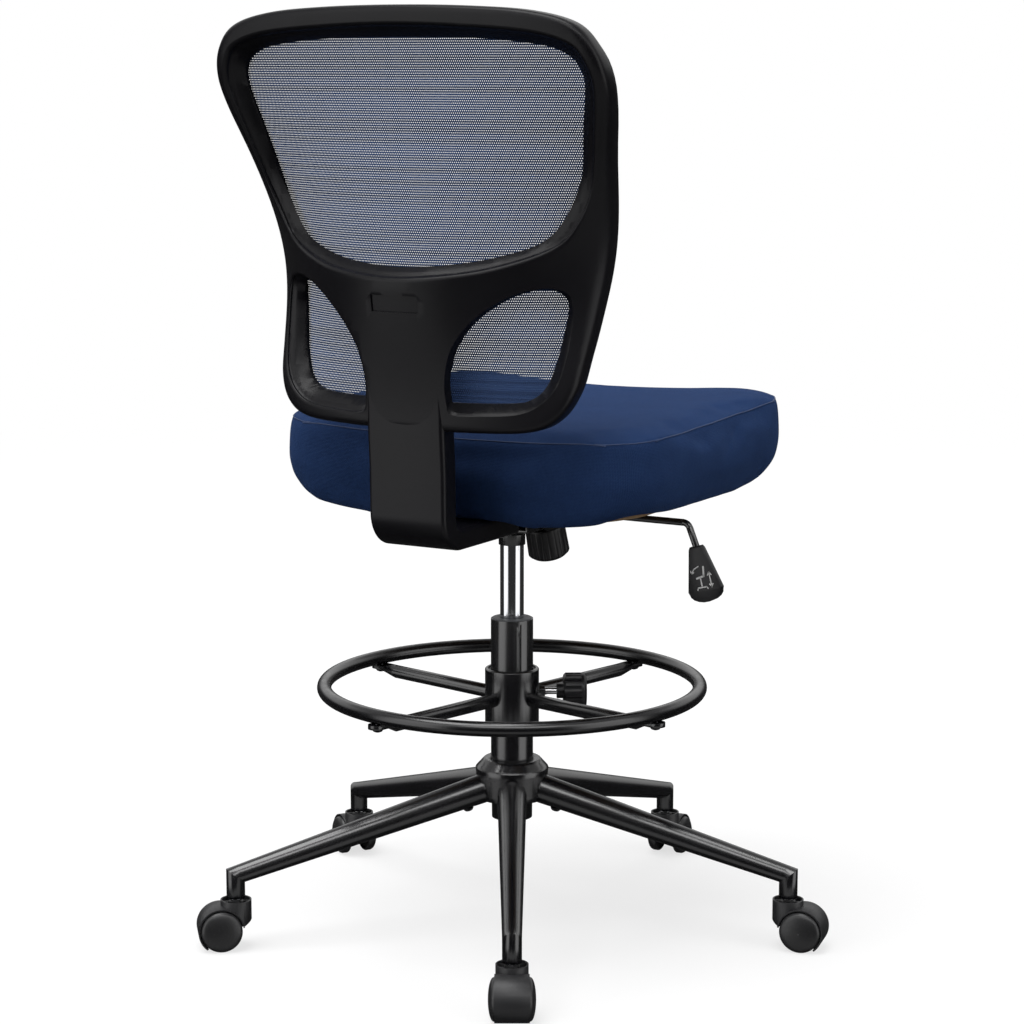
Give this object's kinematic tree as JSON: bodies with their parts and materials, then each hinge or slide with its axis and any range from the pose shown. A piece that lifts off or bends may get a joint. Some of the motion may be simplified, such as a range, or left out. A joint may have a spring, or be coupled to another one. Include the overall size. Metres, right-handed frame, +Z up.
{
  "type": "drafting chair",
  "caption": "Tall swivel drafting chair: mesh back on a moulded loop frame, thick fabric seat, gas lift, tilt, adjustable foot ring, five-star base on twin-wheel casters",
  "frame": {"origin": "floor level, on the axis of the gas column", "axes": "+Z up, the sitter faces -Y, the sitter's right is -X"},
  "size_m": [0.7332, 0.7219, 1.077],
  "materials": {
    "black_metal": "satin black powder coat",
    "bright_steel": "bright plated",
    "plain_steel": "oiled plain steel",
    "black_plastic": "fine-grained moulded plastic",
    "wheel_nylon": "smooth nylon",
    "grey_nylon": "plain grey nylon",
    "seat_ply": "raw plywood",
    "seat_fabric": "woven navy upholstery",
    "back_mesh": "open knitted mesh"
  },
  "bodies": {
    "base": {"base_hub": "black_metal", "base_leg_1": "black_metal", "base_leg_2": "black_metal", "base_leg_3": "black_metal", "base_leg_4": "black_metal", "base_leg_5": "black_metal", "leg_bolts": "black_metal", "column_tube": "black_metal", "guide_bush": "grey_nylon", "thrust_bearing": "plain_steel"},
    "piston": {"piston_rod": "bright_steel", "rod_clip": "plain_steel"},
    "lift": {"gas_cylinder": "bright_steel", "tilt_housing": "black_metal", "tilt_spring": "plain_steel"},
    "valve": {"valve_pin": "bright_steel"},
    "seat_unit": {"seat_plate": "black_metal", "tilt_pin": "bright_steel", "seat_bolts": "black_metal", "seat_board": "seat_ply", "seat_cushion": "seat_fabric", "back_frame": "black_plastic", "back_bolts": "black_metal", "mesh_panel": "back_mesh", "mesh_rim": "black_plastic"},
    "tension_rod": {"tension_bolt": "plain_steel"},
    "tension_grip": {"tension_knob": "black_plastic"},
    "lever_pivot": {"lever_collar": "black_plastic"},
    "lever": {"lever_rod": "black_metal", "lever_paddle": "black_plastic"},
    "ring_slider": {"ring_bush": "grey_nylon"},
    "foot_ring": {"ring_tube": "black_metal", "ring_hub": "black_metal", "ring_bolts": "black_metal", "ring_spoke_1": "black_metal", "ring_spoke_2": "black_metal", "ring_spoke_3": "black_metal", "ring_spoke_4": "black_metal"},
    "clamp": {"clamp_knob": "black_plastic", "clamp_stud": "bright_steel"},
    "caster_1": {"caster_1_hood": "black_plastic", "caster_1_pins": "bright_steel"},
    "caster_1_left_wheel": {"caster_1_wheel_a": "wheel_nylon"},
    "caster_1_right_wheel": {"caster_1_wheel_b": "wheel_nylon"},
    "caster_2": {"caster_2_hood": "black_plastic", "caster_2_pins": "bright_steel"},
    "caster_2_left_wheel": {"caster_2_wheel_a": "wheel_nylon"},
    "caster_2_right_wheel": {"caster_2_wheel_b": "wheel_nylon"},
    "caster_3": {"caster_3_hood": "black_plastic", "caster_3_pins": "bright_steel"},
    "caster_3_left_wheel": {"caster_3_wheel_a": "wheel_nylon"},
    "caster_3_right_wheel": {"caster_3_wheel_b": "wheel_nylon"},
    "caster_4": {"caster_4_hood": "black_plastic", "caster_4_pins": "bright_steel"},
    "caster_4_left_wheel": {"caster_4_wheel_a": "wheel_nylon"},
    "caster_4_right_wheel": {"caster_4_wheel_b": "wheel_nylon"},
    "caster_5": {"caster_5_hood": "black_plastic", "caster_5_pins": "bright_steel"},
    "caster_5_left_wheel": {"caster_5_wheel_a": "wheel_nylon"},
    "caster_5_right_wheel": {"caster_5_wheel_b": "wheel_nylon"}
  },
  "joints": [
    {"name": "seat_swivel", "type": "hinge", "parent": "base", "child": "piston", "pos_m": [0, 0, 0.15], "axis": [0, 0, 1], "continuous": true},
    {"name": "seat_height", "type": "slide", "parent": "piston", "child": "lift", "axis": [0, 0, 1], "range_m": [-0.085, 0.1]},
    {"name": "valve_press", "type": "slide", "parent": "lift", "child": "valve", "axis": [0, 0, -1], "range_m": [0, 0.0022], "stiffness_N_per_m": 2000},
    {"name": "seat_tilt", "type": "hinge", "parent": "lift", "child": "seat_unit", "pos_m": [0, -0.022, 0.484], "axis": [-1, 0, 0], "range_deg": [0, 12], "stiffness_Nm_per_rad": 600, "springref_deg": -2.86, "deforming": ["tilt_spring"]},
    {"name": "tension_rod_hinge", "type": "hinge", "parent": "seat_unit", "child": "tension_rod", "pos_m": [0, -0.06823, 0.499], "axis": [-1, 0, 0], "range_deg": [-12, 0]},
    {"name": "tension_turn", "type": "hinge", "parent": "tension_rod", "child": "tension_grip", "pos_m": [0, -0.09, 0.432], "axis": [0, 0.309, 0.9511], "continuous": true},
    {"name": "lever_lift", "type": "hinge", "parent": "lift", "child": "lever_pivot", "pos_m": [-0.03925, -0.022, 0.498], "axis": [0, 1, 0], "range_deg": [0, 3]},
    {"name": "lever_pull", "type": "slide", "parent": "lever_pivot", "child": "lever", "axis": [-1, 0, 0], "range_m": [0, 0.01]},
    {"name": "ring_height", "type": "slide", "parent": "base", "child": "ring_slider", "axis": [0, 0, 1], "range_m": [-0.025, 0.03]},
    {"name": "ring_turn", "type": "hinge", "parent": "ring_slider", "child": "foot_ring", "pos_m": [0, 0, 0.28], "axis": [0, 0, 1], "continuous": true},
    {"name": "clamp_turn", "type": "hinge", "parent": "foot_ring", "child": "clamp", "pos_m": [-0.0424, -0.0265, 0.2805], "axis": [-0.848, -0.5299, 0], "continuous": true},
    {"name": "caster_1_swivel", "type": "hinge", "parent": "base", "child": "caster_1", "pos_m": [-0.1685, 0.29185, 0.06], "axis": [0, 0, 1], "continuous": true},
    {"name": "caster_1_roll_a", "type": "hinge", "parent": "caster_1", "child": "caster_1_left_wheel", "pos_m": [-0.1775, 0.30744, 0.024], "axis": [-0.866, -0.5, 0], "continuous": true},
    {"name": "caster_1_roll_b", "type": "hinge", "parent": "caster_1", "child": "caster_1_right_wheel", "pos_m": [-0.1775, 0.30744, 0.024], "axis": [-0.866, -0.5, 0], "continuous": true},
    {"name": "caster_2_swivel", "type": "hinge", "parent": "base", "child": "caster_2", "pos_m": [-0.32964, -0.07007, 0.06], "axis": [0, 0, 1], "continuous": true},
    {"name": "caster_2_roll_a", "type": "hinge", "parent": "caster_2", "child": "caster_2_left_wheel", "pos_m": [-0.34724, -0.07381, 0.024], "axis": [0.2079, -0.9781, 0], "continuous": true},
    {"name": "caster_2_roll_b", "type": "hinge", "parent": "caster_2", "child": "caster_2_right_wheel", "pos_m": [-0.34724, -0.07381, 0.024], "axis": [0.2079, -0.9781, 0], "continuous": true},
    {"name": "caster_3_swivel", "type": "hinge", "parent": "base", "child": "caster_3", "pos_m": [-0.03523, -0.33515, 0.06], "axis": [0, 0, 1], "continuous": true},
    {"name": "caster_3_roll_a", "type": "hinge", "parent": "caster_3", "child": "caster_3_left_wheel", "pos_m": [-0.03366, -0.35308, 0.024], "axis": [0.9962, 0.0872, 0], "continuous": true},
    {"name": "caster_3_roll_b", "type": "hinge", "parent": "caster_3", "child": "caster_3_right_wheel", "pos_m": [-0.03366, -0.35308, 0.024], "axis": [0.9962, 0.0872, 0], "continuous": true},
    {"name": "caster_4_swivel", "type": "hinge", "parent": "base", "child": "caster_4", "pos_m": [0.30786, -0.13707, 0.06], "axis": [0, 0, 1], "continuous": true},
    {"name": "caster_4_roll_a", "type": "hinge", "parent": "caster_4", "child": "caster_4_left_wheel", "pos_m": [0.32261, -0.14739, 0.024], "axis": [0.5736, 0.8192, 0], "continuous": true},
    {"name": "caster_4_roll_b", "type": "hinge", "parent": "caster_4", "child": "caster_4_right_wheel", "pos_m": [0.32261, -0.14739, 0.024], "axis": [0.5736, 0.8192, 0], "continuous": true},
    {"name": "caster_5_swivel", "type": "hinge", "parent": "base", "child": "caster_5", "pos_m": [0.2255, 0.25044, 0.06], "axis": [0, 0, 1], "continuous": true},
    {"name": "caster_5_roll_a", "type": "hinge", "parent": "caster_5", "child": "caster_5_left_wheel", "pos_m": [0.23929, 0.26201, 0.024], "axis": [-0.6428, 0.766, 0], "continuous": true},
    {"name": "caster_5_roll_b", "type": "hinge", "parent": "caster_5", "child": "caster_5_right_wheel", "pos_m": [0.23929, 0.26201, 0.024], "axis": [-0.6428, 0.766, 0], "continuous": true}
  ],
  "couplings": [
    {"joint": "tension_rod_hinge", "follows": "seat_tilt", "ratio": -1},
    {"joint": "valve_press", "follows": "lever_lift", "m_per_rad": 0.03925}
  ]
}
